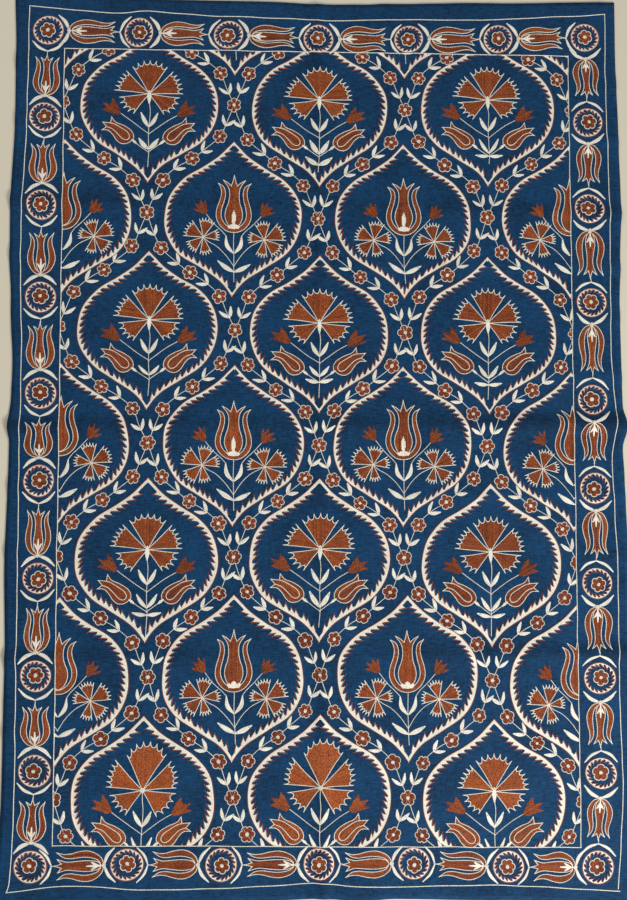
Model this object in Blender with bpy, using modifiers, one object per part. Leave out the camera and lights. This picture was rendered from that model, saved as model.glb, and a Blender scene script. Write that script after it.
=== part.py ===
"""A suzani: an embroidered cotton sheet with a plain hem, laid out flat after it was stored folded.

The sheet is one cut piece. Its underside is flat where it lies, and its old storage creases
and the small wrinkles of its long edges still stand a few millimetres up. Metres, +Z up. The
origin is under the middle of the sheet, on the surface that it lies on. +Y runs along it,
towards the end that the tulips of the left border point to.
"""

import bmesh
import bpy
import numpy as np

LENGTH = 2.224
WIDTH = 1.524
CLOTH = 0.0015
HEM = 0.0022
HEM_DEPTH = 0.012
GROUND_BLUE = (0.010, 0.047, 0.135, 1.0)
GROUND_ROUGHNESS = 0.9

HALF_LENGTH = LENGTH / 2
HALF_WIDTH = WIDTH / 2

# How far the long edges stand in from the half width. Each row is one height on the sheet:
# (along, in at the left, in at the right), in metres.
LONG_EDGES = (
    (-HALF_LENGTH, 0.020, 0.015),
    (-0.870, 0.028, 0.000),
    (-0.560, 0.026, 0.006),
    (-0.300, 0.018, 0.005),
    (-0.104, 0.020, 0.010),
    (-0.030, 0.020, 0.013),
    (0.015, 0.015, 0.002),
    (0.080, 0.021, 0.011),
    (0.150, 0.022, 0.012),
    (0.320, 0.013, 0.013),
    (0.440, 0.006, 0.009),
    (0.570, 0.004, 0.004),
    (0.770, 0.009, 0.007),
    (0.960, 0.006, 0.011),
    (HALF_LENGTH, 0.000, 0.010),
)

# How far the two ends stand in from the half length. Each row is one place across the sheet:
# (across, in at the near end, in at the far end), in metres.
ENDS = (
    (-HALF_WIDTH, 0.010, 0.009),
    (-0.560, 0.016, 0.015),
    (-0.380, 0.012, 0.021),
    (-0.130, 0.017, 0.020),
    (0.010, 0.021, 0.024),
    (0.110, 0.014, 0.022),
    (0.180, 0.019, 0.018),
    (0.430, 0.014, 0.010),
    (HALF_WIDTH, 0.000, 0.000),
)

# Creases that still stand up. Each row is one crease, drawn from its start to its end:
# (start x, start y, end x, end y, height at the start, midway and at the end, half width).
CREASES = (
    # The three folds across, from when it was folded in four.
    (-0.790, 0.568, 0.790, 0.560, 0.0050, 0.0016, 0.0050, 0.032),
    (-0.790, 0.006, 0.790, 0.034, 0.0070, 0.0030, 0.0090, 0.034),
    (-0.790, -0.540, 0.790, -0.524, 0.0050, 0.0012, 0.0065, 0.032),
    # The fold lengthwise, from when it was doubled first.
    (0.019, -1.140, -0.008, 1.140, 0.0035, 0.0026, 0.0020, 0.028),
    # The lighter presses across the half that lay outside.
    (0.020, 0.730, 0.790, 0.744, 0.0004, 0.0020, 0.0026, 0.024),
    (0.020, 0.408, 0.790, 0.417, 0.0004, 0.0020, 0.0026, 0.024),
    (0.020, 0.137, 0.790, 0.144, 0.0004, 0.0018, 0.0024, 0.024),
    (0.020, -0.160, 0.790, -0.150, 0.0004, 0.0018, 0.0020, 0.024),
    # Wrinkles that run in from the left edge.
    (-0.790, 0.925, -0.600, 0.915, 0.0036, 0.0018, 0.0000, 0.030),
    (-0.790, 0.778, -0.610, 0.765, 0.0034, 0.0020, 0.0000, 0.026),
    (-0.790, 0.436, -0.640, 0.430, 0.0036, 0.0016, 0.0000, 0.028),
    (-0.790, -0.130, -0.590, -0.140, 0.0034, 0.0018, 0.0000, 0.026),
    (-0.790, -0.285, -0.600, -0.290, 0.0038, 0.0016, 0.0000, 0.026),
    (-0.790, -0.710, -0.610, -0.705, 0.0034, 0.0016, 0.0000, 0.028),
    (-0.790, -0.905, -0.620, -0.900, 0.0030, 0.0014, 0.0000, 0.028),
    # Wrinkles that run in from the right edge.
    (0.790, 0.900, 0.610, 0.890, 0.0040, 0.0018, 0.0000, 0.030),
    (0.790, 0.300, 0.600, 0.296, 0.0036, 0.0018, 0.0000, 0.028),
    (0.790, -0.292, 0.630, -0.288, 0.0034, 0.0014, 0.0000, 0.026),
    (0.790, -0.760, 0.640, -0.765, 0.0026, 0.0012, 0.0000, 0.028),
)

# Across: where the lines of the mesh stand closer, round the fold lengthwise and the edges.
ACROSS = (
    -0.700, -0.640, -0.590, -0.470, -0.330, -0.190, -0.060, -0.022, -0.008, 0.006, 0.020, 0.034,
    0.070, 0.190, 0.330, 0.470, 0.590, 0.640, 0.700,
)
BETWEEN_ROWS = 0.085
CREASE_STEPS = (-1.0, -0.5, 0.0, 0.5, 1.0)
CLOSEST_ROWS = 0.007


def eased(rows, column, at):
    """A column of a table at a place between its rows, level at every row."""
    stations = np.array([row[0] for row in rows])
    values = np.array([row[column] for row in rows])
    i = int(np.clip(np.searchsorted(stations, at) - 1, 0, len(rows) - 2))
    t = np.clip((at - stations[i]) / (stations[i + 1] - stations[i]), 0, 1)
    return values[i] + (values[i + 1] - values[i]) * t * t * (3 - 2 * t)


def place(across, along):
    """A point of a true rectangle, moved to where it lies in the uneven outline."""
    left = -HALF_WIDTH + eased(LONG_EDGES, 1, along)
    right = HALF_WIDTH - eased(LONG_EDGES, 2, along)
    near = -HALF_LENGTH + eased(ENDS, 1, across)
    far = HALF_LENGTH - eased(ENDS, 2, across)
    u = (across + HALF_WIDTH) / WIDTH
    v = (along + HALF_LENGTH) / LENGTH
    return left + (right - left) * u, near + (far - near) * v


def crease_height(x, y, crease):
    """How far one crease lifts the cloth at a point: a smooth ridge that is nought past its width."""
    x0, y0, x1, y1, low, middle, high, half_width = crease
    dx, dy = x1 - x0, y1 - y0
    length = np.hypot(dx, dy)
    t = ((x - x0) * dx + (y - y0) * dy) / length**2
    off = abs((x - x0) * dy - (y - y0) * dx) / length / half_width
    if off >= 1 or t < 0 or t > 1:
        return 0.0
    if t < 0.5:
        top = middle + (low - middle) * (1 - 2 * t) ** 2
    else:
        top = middle + (high - middle) * (2 * t - 1) ** 2
    return top * (1 - off * off) ** 2


def lift(x, y):
    """How far the creases lift the cloth's underside at a point. Where two cross, the higher one wins."""
    return max(crease_height(x, y, crease) for crease in CREASES)


def rows_along():
    """Where the mesh has a row: both ends, the hems, each row of the outline's table, five rows to
    each crease, and an even spread."""
    rows = [-HALF_LENGTH + HEM_DEPTH, HALF_LENGTH - HEM_DEPTH] + [row[0] for row in LONG_EDGES]
    for x0, y0, x1, y1, *_, half_width in CREASES:
        if abs(x1 - x0) > abs(y1 - y0):
            rows += [(y0 + y1) / 2 + step * half_width for step in CREASE_STEPS]
    spread = round(LENGTH / BETWEEN_ROWS)
    kept = []
    for row in rows + [LENGTH * (i / spread - 0.5) for i in range(1, spread)]:
        if all(abs(row - other) >= CLOSEST_ROWS for other in kept):
            kept.append(row)
    return sorted(kept)


def columns_across():
    edges = [-HALF_WIDTH, -HALF_WIDTH + HEM_DEPTH, HALF_WIDTH - HEM_DEPTH, HALF_WIDTH]
    return sorted(edges + list(ACROSS))


def ground_material():
    material = bpy.data.materials.new("blue_cotton")
    material.use_nodes = True
    shader = material.node_tree.nodes["Principled BSDF"]
    shader.inputs["Base Color"].default_value = GROUND_BLUE
    shader.inputs["Roughness"].default_value = GROUND_ROUGHNESS
    shader.inputs["Metallic"].default_value = 0.0
    return material


def sheet_mesh(across, along):
    """The underside of the cloth as a grid, and which of its points are in the hem."""
    mesh = bpy.data.meshes.new("ground_cloth")
    bm = bmesh.new()
    bmesh.ops.create_grid(bm, x_segments=len(across) - 1, y_segments=len(along) - 1, size=1)
    in_hem = []
    for vert in bm.verts:
        i = round((vert.co.x + 1) / 2 * (len(across) - 1))
        j = round((vert.co.y + 1) / 2 * (len(along) - 1))
        x, y = place(across[i], along[j])
        vert.co = (x, y, lift(x, y))
        if i < 2 or j < 2 or i > len(across) - 3 or j > len(along) - 3:
            in_hem.append(vert.index)
    bm.to_mesh(mesh)
    bm.free()
    return mesh, in_hem


def make_ground_cloth(collection):
    mesh, in_hem = sheet_mesh(columns_across(), rows_along())
    cloth = bpy.data.objects.new("ground_cloth", mesh)
    collection.objects.link(cloth)
    mesh.materials.append(ground_material())
    mesh.shade_smooth()
    hem = cloth.vertex_groups.new(name="hem")
    hem.add(in_hem, 1.0, "REPLACE")
    shell = cloth.modifiers.new("thickness", "SOLIDIFY")
    shell.thickness = HEM
    shell.offset = 1
    shell.vertex_group = hem.name
    shell.thickness_vertex_group = CLOTH / HEM
    return cloth


def main():
    for obj in list(bpy.data.objects):
        bpy.data.objects.remove(obj)
    collection = bpy.data.collections.new("suzani")
    bpy.context.scene.collection.children.link(collection)
    make_ground_cloth(collection)


main()
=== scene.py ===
# %% [markdown]
# # A suzani, laid out flat
# A suzani is a cotton sheet that is covered with embroidery in thick yarn. This one has a blue ground,
# a border of tulips and rings, and a field of pointed ovals with a carnation or a tulip in each.
# The sheet is made first. Then every row and every stitch of the yarn is drawn flat on it, in
# millimetres, as an embroiderer draws the pattern on the cloth. Geometry Nodes turn the drawn lines
# into yarn, and the yarn is laid on the creased cloth.

import bpy
import numpy as np
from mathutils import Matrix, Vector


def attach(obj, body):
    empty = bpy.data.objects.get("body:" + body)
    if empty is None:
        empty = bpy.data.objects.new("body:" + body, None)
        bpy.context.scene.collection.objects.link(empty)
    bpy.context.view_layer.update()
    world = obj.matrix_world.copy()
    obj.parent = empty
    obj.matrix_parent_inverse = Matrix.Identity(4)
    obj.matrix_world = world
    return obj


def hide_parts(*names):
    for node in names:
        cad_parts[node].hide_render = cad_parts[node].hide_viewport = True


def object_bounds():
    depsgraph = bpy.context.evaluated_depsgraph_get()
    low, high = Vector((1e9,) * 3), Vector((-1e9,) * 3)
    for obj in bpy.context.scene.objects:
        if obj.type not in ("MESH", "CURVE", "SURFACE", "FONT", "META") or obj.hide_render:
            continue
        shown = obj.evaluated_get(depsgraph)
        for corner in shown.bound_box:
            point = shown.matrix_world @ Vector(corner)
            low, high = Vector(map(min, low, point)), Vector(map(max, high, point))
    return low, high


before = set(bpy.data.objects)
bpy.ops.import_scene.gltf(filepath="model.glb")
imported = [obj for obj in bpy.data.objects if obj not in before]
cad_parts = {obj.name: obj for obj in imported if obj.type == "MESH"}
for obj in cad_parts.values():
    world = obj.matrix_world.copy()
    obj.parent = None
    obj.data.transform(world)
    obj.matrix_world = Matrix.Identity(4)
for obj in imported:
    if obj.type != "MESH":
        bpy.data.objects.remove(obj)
CAD_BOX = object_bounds()
print("solids:", sorted(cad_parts), "box:", CAD_BOX)

MM = 0.001

# %% [markdown]
# ## Camera, floor and light
# The photograph was taken by someone who stood at the cloth and held the camera out over its middle,
# so the camera looks almost straight down and is turned a few degrees. The floor is one plain pale
# surface. The light is soft and comes from the lower right, which brings out the creases and the
# raised yarn: one large lamp there, a weaker one from the far side, and a pale sky.

# %% Camera
CAMERA_PLACE = (-0.0684, -0.1782, 1.9378)
CAMERA_TURN_DEGREES = (4.05, -1.726, 0.314)
LENS_MM = 32.0
SENSOR_MM = 36.0


def in_scene(name, data):
    """A new object, put into the scene."""
    made = bpy.data.objects.new(name, data)
    bpy.context.collection.objects.link(made)
    return made


def make_camera():
    data = bpy.data.cameras.new("camera_above")
    data.lens = LENS_MM
    data.sensor_width = SENSOR_MM
    camera = in_scene("camera_above", data)
    camera.location = CAMERA_PLACE
    camera.rotation_euler = np.radians(CAMERA_TURN_DEGREES)
    bpy.context.scene.camera = camera
    return camera


camera = make_camera()
bpy.context.scene.view_settings.view_transform = "Standard"
print("camera at", tuple(round(v, 3) for v in camera.location))

# %% Helpers for all node trees and colours


def add(tree, kind, inputs=None, **settings):
    """A new node with its settings, and its inputs linked or set. An input is named, or numbered where
    several inputs of the node share one name."""
    node = tree.nodes.new(kind)
    for name, value in settings.items():
        setattr(node, name, value)
    for name, value in (inputs or {}).items():
        if isinstance(value, bpy.types.NodeSocket):
            tree.links.new(value, node.inputs[name])
        else:
            node.inputs[name].default_value = value
    return node


def colour(red, green, blue):
    """A colour as seen on a screen, 0 to 255, turned into the amount of light that Blender works in."""
    seen = np.array([red, green, blue]) / 255
    light = np.where(seen <= 0.04045, seen / 12.92, ((seen + 0.055) / 1.055) ** 2.4)
    return (*light, 1.0)


print("white is", colour(255, 255, 255))

# %% Floor
FLOOR_SIZE = 14.0
UNDER_CLOTH = 0.0003


def make_floor():
    mesh = bpy.data.meshes.new("floor")
    half = FLOOR_SIZE / 2
    corners = [(-half, -half), (half, -half), (half, half), (-half, half)]
    mesh.from_pydata([(x, y, -UNDER_CLOTH) for x, y in corners], [], [(0, 1, 2, 3)])
    material = bpy.data.materials.new("pale_floor")
    material.use_nodes = True
    shader = material.node_tree.nodes["Principled BSDF"]
    shader.inputs["Base Color"].default_value = colour(214, 204, 180)
    shader.inputs["Roughness"].default_value = 0.8
    mesh.materials.append(material)
    floor = in_scene("floor", mesh)
    return floor


floor = make_floor()
print("floor", FLOOR_SIZE, "m wide")

# %% Lamps and sky
# Each row is one lamp: (name, place, the point that it faces, size, watts).
LAMPS = (
    ("lamp_lower_right", (2.7, -3.4, 2.2), (0.2, -0.1, 0.0), 1.4, 256.0),
    ("lamp_far", (-1.6, 2.2, 2.6), (0.0, 0.0, 0.0), 2.0, 24.0),
)
SKY = colour(236, 240, 246)
SKY_STRENGTH = 0.45


def make_lamp(name, place, facing, size, watts):
    data = bpy.data.lights.new(name, "AREA")
    data.shape = "DISK"
    data.size = size
    data.energy = watts
    lamp = in_scene(name, data)
    lamp.location = place
    away = np.array(place) - np.array(facing)
    across = np.hypot(away[0], away[1])
    lamp.rotation_euler = (np.arctan2(across, away[2]), 0, np.arctan2(away[1], away[0]) + np.pi / 2)


for lamp_row in LAMPS:
    make_lamp(*lamp_row)
world = bpy.data.worlds.new("pale_sky")
world.use_nodes = True
sky = world.node_tree.nodes["Background"]
sky.inputs["Color"].default_value = SKY
sky.inputs["Strength"].default_value = SKY_STRENGTH
bpy.context.scene.world = world
print(len(LAMPS), "lamps and a pale sky")

# %% [markdown]
# ## The shape of the cloth
# The solid of the imported model has the outline and the creases of the real cloth. The cloth in
# this scene has to lie on the same folds, so it repeats the same tables and the same rules, and adds
# what is too fine for a solid: the sharp line in the middle of each old fold, and the slight
# unevenness of any cloth that was unfolded by hand. All of it is one function of a place on the
# floor, so the yarn can be laid on it later with the same function.

# %% Outline of the cloth
low_corner, high_corner = CAD_BOX
WIDTH = high_corner[0] - low_corner[0]
LENGTH = high_corner[1] - low_corner[1]
HALF_WIDTH = WIDTH / 2
HALF_LENGTH = LENGTH / 2
CLOTH = 0.0015
HEM = 0.0022
HEM_DEPTH = 0.012

# How far the long edges stand in from the half width: (along, in at the left, in at the right).
LONG_EDGES = (
    (-HALF_LENGTH, 0.020, 0.015),
    (-0.870, 0.028, 0.000),
    (-0.560, 0.026, 0.006),
    (-0.300, 0.018, 0.005),
    (-0.104, 0.020, 0.010),
    (-0.030, 0.020, 0.013),
    (0.015, 0.015, 0.002),
    (0.080, 0.021, 0.011),
    (0.150, 0.022, 0.012),
    (0.320, 0.013, 0.013),
    (0.440, 0.006, 0.009),
    (0.570, 0.004, 0.004),
    (0.770, 0.009, 0.007),
    (0.960, 0.006, 0.011),
    (HALF_LENGTH, 0.000, 0.010),
)

# How far the two ends stand in from the half length: (across, in at the near end, in at the far end).
ENDS = (
    (-HALF_WIDTH, 0.010, 0.009),
    (-0.560, 0.016, 0.015),
    (-0.380, 0.012, 0.021),
    (-0.130, 0.017, 0.020),
    (0.010, 0.021, 0.024),
    (0.110, 0.014, 0.022),
    (0.180, 0.019, 0.018),
    (0.430, 0.014, 0.010),
    (HALF_WIDTH, 0.000, 0.000),
)
print("cloth", round(WIDTH, 3), "by", round(LENGTH, 3), "m")

# %% Places on the cloth


def eased(rows, column, at):
    """A column of a table at places between its rows, level at every row."""
    stations = np.array([row[0] for row in rows])
    values = np.array([row[column] for row in rows])
    i = np.clip(np.searchsorted(stations, at) - 1, 0, len(rows) - 2)
    t = np.clip((at - stations[i]) / (stations[i + 1] - stations[i]), 0, 1)
    return values[i] + (values[i + 1] - values[i]) * t * t * (3 - 2 * t)


def place(across, along):
    """Points of a true rectangle, moved to where they lie in the uneven outline."""
    left = -HALF_WIDTH + eased(LONG_EDGES, 1, along)
    right = HALF_WIDTH - eased(LONG_EDGES, 2, along)
    near_end = -HALF_LENGTH + eased(ENDS, 1, across)
    far_end = HALF_LENGTH - eased(ENDS, 2, across)
    u = (across + HALF_WIDTH) / WIDTH
    v = (along + HALF_LENGTH) / LENGTH
    return left + (right - left) * u, near_end + (far_end - near_end) * v


print("its near left corner lies at", [round(float(v), 3) for v in place(-HALF_WIDTH, -HALF_LENGTH)])

# %% Creases
# (start x, start y, end x, end y, height at the start, midway and at the end, half width).
CREASES = (
    # The three folds across, from when it was folded in four.
    (-0.790, 0.568, 0.790, 0.560, 0.0050, 0.0016, 0.0050, 0.032),
    (-0.790, 0.006, 0.790, 0.034, 0.0070, 0.0030, 0.0090, 0.034),
    (-0.790, -0.540, 0.790, -0.524, 0.0050, 0.0012, 0.0065, 0.032),
    # The fold lengthwise, from when it was doubled first.
    (0.019, -1.140, -0.008, 1.140, 0.0035, 0.0026, 0.0020, 0.028),
    # The lighter presses across the half that lay outside.
    (0.020, 0.730, 0.790, 0.744, 0.0004, 0.0020, 0.0026, 0.024),
    (0.020, 0.408, 0.790, 0.417, 0.0004, 0.0020, 0.0026, 0.024),
    (0.020, 0.137, 0.790, 0.144, 0.0004, 0.0018, 0.0024, 0.024),
    (0.020, -0.160, 0.790, -0.150, 0.0004, 0.0018, 0.0020, 0.024),
    # Wrinkles that run in from the left edge.
    (-0.790, 0.925, -0.600, 0.915, 0.0036, 0.0018, 0.0000, 0.030),
    (-0.790, 0.778, -0.610, 0.765, 0.0034, 0.0020, 0.0000, 0.026),
    (-0.790, 0.436, -0.640, 0.430, 0.0036, 0.0016, 0.0000, 0.028),
    (-0.790, -0.130, -0.590, -0.140, 0.0034, 0.0018, 0.0000, 0.026),
    (-0.790, -0.285, -0.600, -0.290, 0.0038, 0.0016, 0.0000, 0.026),
    (-0.790, -0.710, -0.610, -0.705, 0.0034, 0.0016, 0.0000, 0.028),
    (-0.790, -0.905, -0.620, -0.900, 0.0030, 0.0014, 0.0000, 0.028),
    # Wrinkles that run in from the right edge.
    (0.790, 0.900, 0.610, 0.890, 0.0040, 0.0018, 0.0000, 0.030),
    (0.790, 0.300, 0.600, 0.296, 0.0036, 0.0018, 0.0000, 0.028),
    (0.790, -0.292, 0.630, -0.288, 0.0034, 0.0014, 0.0000, 0.026),
    (0.790, -0.760, 0.640, -0.765, 0.0026, 0.0012, 0.0000, 0.028),
)
FOLDS = CREASES[:4]
PRESSES = CREASES[4:8]


def crease_height(x, y, crease):
    """How far one crease lifts the cloth: a smooth ridge that is nought past its width."""
    x0, y0, x1, y1, low, middle, high, half_width = crease
    dx, dy = x1 - x0, y1 - y0
    length = np.hypot(dx, dy)
    t = ((x - x0) * dx + (y - y0) * dy) / length**2
    off = np.abs((x - x0) * dy - (y - y0) * dx) / length / half_width
    top = middle + (np.where(t < 0.5, low, high) - middle) * (1 - 2 * t) ** 2
    return np.where((off < 1) & (t >= 0) & (t <= 1), top * (1 - off * off) ** 2, 0.0)


print(len(CREASES), "creases, the highest", max(max(crease[4:7]) for crease in CREASES) / MM, "mm")

# %% Underside, and painted light and shade at the creases
# The sharp line that stays in the middle of a fold: its height at the start, midway and at the end,
# and its half width.
FOLD_LINE = (0.0006, 0.00036, 0.0006, 0.007)
# Painted shade darkens the cloth at the folds and the wrinkles, and painted light makes the lighter presses
# paler.
PAINTED_SHADE_PER_METRE = 75.0
PAINTED_LIGHT_PER_METRE = 150.0


def highest(x, y, creases):
    """How far a number of creases lift the cloth. Where two cross, the higher one wins."""
    return np.max([crease_height(x, y, crease) for crease in creases], axis=0)


def ripple(x, y, waves):
    """A slight unevenness, as a sum of long waves: (per metre across, per metre along, start, height)."""
    return sum(height * np.sin(across * x + along * y + start) for across, along, start, height in waves)


def make_waves(seed, count, shortest, longest, height):
    chance = np.random.default_rng(seed)
    waves = []
    for _ in range(count):
        turn = chance.uniform(0, 2 * np.pi)
        per_metre = 2 * np.pi / chance.uniform(shortest, longest)
        waves.append((per_metre * np.cos(turn), per_metre * np.sin(turn), chance.uniform(0, 6.3), height))
    return waves


UNEVEN = make_waves(seed=3, count=9, shortest=0.05, longest=0.16, height=0.00009)


def underside(x, y):
    """How high the underside of the cloth lies above the floor."""
    lines = highest(x, y, [(*fold[:4], *FOLD_LINE) for fold in FOLDS])
    return highest(x, y, CREASES) + lines + np.maximum(ripple(x, y, UNEVEN), 0)


def painted_crease_shading(x, y):
    """How much painted light (above nought) or painted shade the cloth's colour gets at its creases."""
    shade_from_folds = highest(x, y, [crease for crease in CREASES if crease not in PRESSES])
    return highest(x, y, PRESSES) * PAINTED_LIGHT_PER_METRE - shade_from_folds * PAINTED_SHADE_PER_METRE


print("the middle of the cloth lies", round(float(underside(0.0, 0.0)) / MM, 2), "mm up")

# %% [markdown]
# ## The woven ground
# The ground is one plain-woven cotton sheet with its edges turned in as a narrow hem. A grid is the
# honest way to make it: its lines run as the threads run, it takes the outline and the creases from
# the functions above, and Solidify gives it the real thickness, more where the hem doubles it.

# %% Grid lines
GRID = 0.0125
FINE_GRID = 0.005
FINE_REACH = 0.022


def grid_lines(half, folds):
    """Places of the grid's lines: even, closer at the folds, and one at the inner edge of each hem."""
    lines = [-half]
    inner = half - HEM_DEPTH
    while lines[-1] < half:
        at = lines[-1]
        step = FINE_GRID if any(abs(at - fold) < FINE_REACH for fold in folds) else GRID
        stops = [stop for stop in (-inner, inner, half) if stop > at + 1e-6]
        lines.append(min([at + step, *stops]))
    return np.array(lines)


*FOLDS_ACROSS, FOLD_LENGTHWISE = FOLDS
ACROSS = grid_lines(HALF_WIDTH, [(FOLD_LENGTHWISE[0] + FOLD_LENGTHWISE[2]) / 2])
ALONG = grid_lines(HALF_LENGTH, [(fold[1] + fold[3]) / 2 for fold in FOLDS_ACROSS])
print(len(ACROSS), "lines across and", len(ALONG), "along")

# %% Cloth mesh


def make_ground():
    across, along = np.meshgrid(ACROSS, ALONG)
    x, y = place(across.ravel(), along.ravel())
    points = np.stack([x, y, underside(x, y)], -1)
    columns = len(ACROSS)
    corner = (np.arange(len(ALONG) - 1)[:, None] * columns + np.arange(columns - 1)).ravel()
    faces = np.stack([corner, corner + 1, corner + columns + 1, corner + columns], -1)
    mesh = bpy.data.meshes.new("woven_ground")
    mesh.from_pydata(points.tolist(), [], faces.tolist())
    # Every point keeps the painted light and shade of the creases, which the cotton's colour takes up.
    mesh.attributes.new("painted_crease_shading", "FLOAT", "POINT").data.foreach_set("value", painted_crease_shading(x, y))
    mesh.shade_smooth()
    ground = in_scene("woven_ground", mesh)
    edge = np.minimum(HALF_WIDTH - np.abs(across), HALF_LENGTH - np.abs(along)).ravel()
    hem = ground.vertex_groups.new(name="hem")
    hem.add(np.flatnonzero(edge < HEM_DEPTH + 1e-6).tolist(), 1.0, "REPLACE")
    shell = ground.modifiers.new("thickness", "SOLIDIFY")
    shell.thickness = HEM
    shell.offset = 1
    shell.vertex_group = hem.name
    shell.thickness_vertex_group = CLOTH / HEM
    return ground


ground = make_ground()
print("ground:", len(ground.data.vertices), "points on its underside")

# %% [markdown]
# ## Drawing tools
# An embroiderer draws the pattern on the cloth before sewing. These few tools do the same in flat
# millimetres: a smooth line through a few points, a place for a motif with its own turn and size,
# straight rows that fill a shape, and rows that run between two sides, as thread runs in a leaf.
# What is drawn is kept in one list for each piece of needlework.

# %% Lines
STEP = 2.5


def curve(points, step=STEP):
    """A smooth line through a few points, in short straight steps."""
    p = np.asarray(points, float)
    gap = np.sqrt(np.hypot(*np.diff(p, axis=0).T))[:, None]
    slope = np.diff(p, axis=0) / gap
    inner = (slope[:-1] * gap[1:] + slope[1:] * gap[:-1]) / (gap[:-1] + gap[1:])
    tangent = np.concatenate([slope[:1], inner, slope[-1:]])
    line = []
    for i in range(len(p) - 1):
        count = max(2, round(float(np.hypot(*(p[i + 1] - p[i]))) / step))
        t = np.linspace(0, 1, count, endpoint=False)[:, None]
        start = p[i] * (1 + 2 * t) * (1 - t) ** 2 + tangent[i] * gap[i] * t * (1 - t) ** 2
        end = p[i + 1] * t**2 * (3 - 2 * t) - tangent[i + 1] * gap[i] * t**2 * (1 - t)
        line.append(start + end)
    line.append(p[-1:])
    return np.concatenate(line)


def mirrored(points):
    """The same points on the other side of the motif's middle line."""
    return np.asarray(points, float) * (-1, 1)


def joined(*sides):
    """Several sides as one closed outline."""
    return np.concatenate([np.asarray(side, float) for side in sides])


def spread(line, count):
    """The same line with its points an equal way apart."""
    far = np.concatenate([[0], np.cumsum(np.hypot(*np.diff(line, axis=0).T))])
    at = np.linspace(0, far[-1], count)
    return np.stack([np.interp(at, far, line[:, 0]), np.interp(at, far, line[:, 1])], -1)


def length_of(line):
    return float(np.hypot(*np.diff(line, axis=0).T).sum())


def ways(line):
    """The way that a line takes at each of its points, and the way to its left."""
    way = np.gradient(line, axis=0)
    way = way / np.maximum(np.hypot(*way.T), 1e-9)[:, None]
    return way, np.stack([-way[:, 1], way[:, 0]], -1)


print("a line through three points has", len(curve([(0, 0), (30, 10), (60, 0)])), "points")

# %% Places


def around(angles, radius):
    """Points round a middle, with one radius for all or a radius for each."""
    return np.stack([np.cos(angles), np.sin(angles)], -1) * np.reshape(radius, (-1, 1))


def spot(x, y, turn=0.0, wide=1.0, tall=1.0):
    """Where a motif goes: a function from its own millimetres to those of the cloth."""
    c, s = np.cos(np.radians(turn)), np.sin(np.radians(turn))

    def on_cloth(points):
        p = np.asarray(points, float) * (wide, tall)
        return np.stack([x + c * p[..., 0] - s * p[..., 1], y + s * p[..., 0] + c * p[..., 1]], -1)

    return on_cloth


print("a point 10 mm up, turned by 90 degrees, is at", spot(0, 0, 90)([0, 10]).round(3))

# %% Rows of thread
YARN = 2.3
ROW_PITCH = 1.95
FIRST_ROW = 0.6 * ROW_PITCH
ROW_INSET = 1.3
SHORTEST_ROW = 1.6


def straight_rows(outline, degrees, inset=ROW_INSET):
    """The rows that fill a shape, all in one direction, each a little short of the shape's edge."""
    c, s = np.cos(np.radians(degrees)), np.sin(np.radians(degrees))
    turn = np.array([[c, -s], [s, c]])
    p = outline @ turn
    q = np.roll(p, -1, axis=0)
    rows = []
    for level in np.arange(p[:, 1].min() + FIRST_ROW, p[:, 1].max(), ROW_PITCH):
        crossing = (p[:, 1] <= level) != (q[:, 1] <= level)
        a, b = p[crossing], q[crossing]
        ends = np.sort(a[:, 0] + (level - a[:, 1]) / (b[:, 1] - a[:, 1]) * (b[:, 0] - a[:, 0]))
        for start, end in zip(ends[0::2], ends[1::2]):
            if end - start > 2 * inset + SHORTEST_ROW:
                rows.append(np.array([(start + inset, level), (end - inset, level)]) @ turn.T)
    return rows


def rows_between(side_a, side_b, count, crowded=0.8):
    """Rows that run along between two sides. Where the sides come close, only the middle row goes on."""
    steps = max(4, round(max(length_of(side_a), length_of(side_b)) / STEP))
    a, b = spread(side_a, steps), spread(side_b, steps)
    width = np.hypot(*(b - a).T)
    rows = []
    for k in range(count):
        row = a + (b - a) * (k + 0.5) / count
        if k != count // 2:
            row = row[width > crowded * count]
        if len(row) > 2:
            rows.append(row)
    return rows


print(len(straight_rows(around(np.radians([0, 120, 240]), 20), 0)), "rows fill a small triangle")

# %% Rows of a leaf
LEAF_STEP = 3.0
LEAF_CROWDED = 0.7


def leaf_rows(midrib, width, count):
    """Rows that fill a leaf: together at its base, apart at its middle, together at its tip. Where
    they would lie too close, only the outer ones go on."""
    spine = curve(midrib, LEAF_STEP)
    left = ways(spine)[1]
    t = np.linspace(0, 1, len(spine))
    half = (width - YARN) / 2 * np.sin(np.pi * t**0.88) ** 1.25
    rows = []
    for k in np.linspace(-1, 1, count):
        row = spine + left * (half * k)[:, None]
        if abs(k) < 0.99 and count > 2:
            row = row[half * 2 > (count - 1) * LEAF_CROWDED]
        if len(row) > 1:
            rows.append(row)
    return rows


print(len(leaf_rows([(0, 0), (0, 20), (0, 40)], 10.0, 5)), "rows fill a leaf")

# %% What is sewn
WORK = {}
ROW_TO_ROW = 0.14
# All that an uneven hand does comes from these fixed draws, so the cloth is the same every time.
HAND = np.random.default_rng(1861)


def near(value, amount):
    """A size as a hand makes it, off by up to this amount."""
    return value + HAND.uniform(-amount, amount)


def sew(piece, line, dye=0.5, raised=0.0):
    """Keeps one drawn line for a piece of needlework. Its dye is 0 for the deepest and 1 for the
    brightest yarn, and raised is how many millimetres it lies above the cloth."""
    WORK.setdefault(piece, []).append((np.asarray(line, float), dye, raised))


def sew_rows(piece, rows, where, dye=0.5, raised=0.0):
    for row in rows:
        sew(piece, where(row), HAND.normal(dye, ROW_TO_ROW), raised)


def sew_outline(piece, lines, where):
    """The chain stitch round a filled shape. It covers the ends of the rows."""
    for line in lines:
        sew(piece, where(line), dye=0.6, raised=0.3)


print("nothing is sewn yet:", WORK)

# %% Stems, leaves and discs


def sew_stem(where, *points):
    """A stem through a few points."""
    sew("stems", where(curve(points)))


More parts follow.
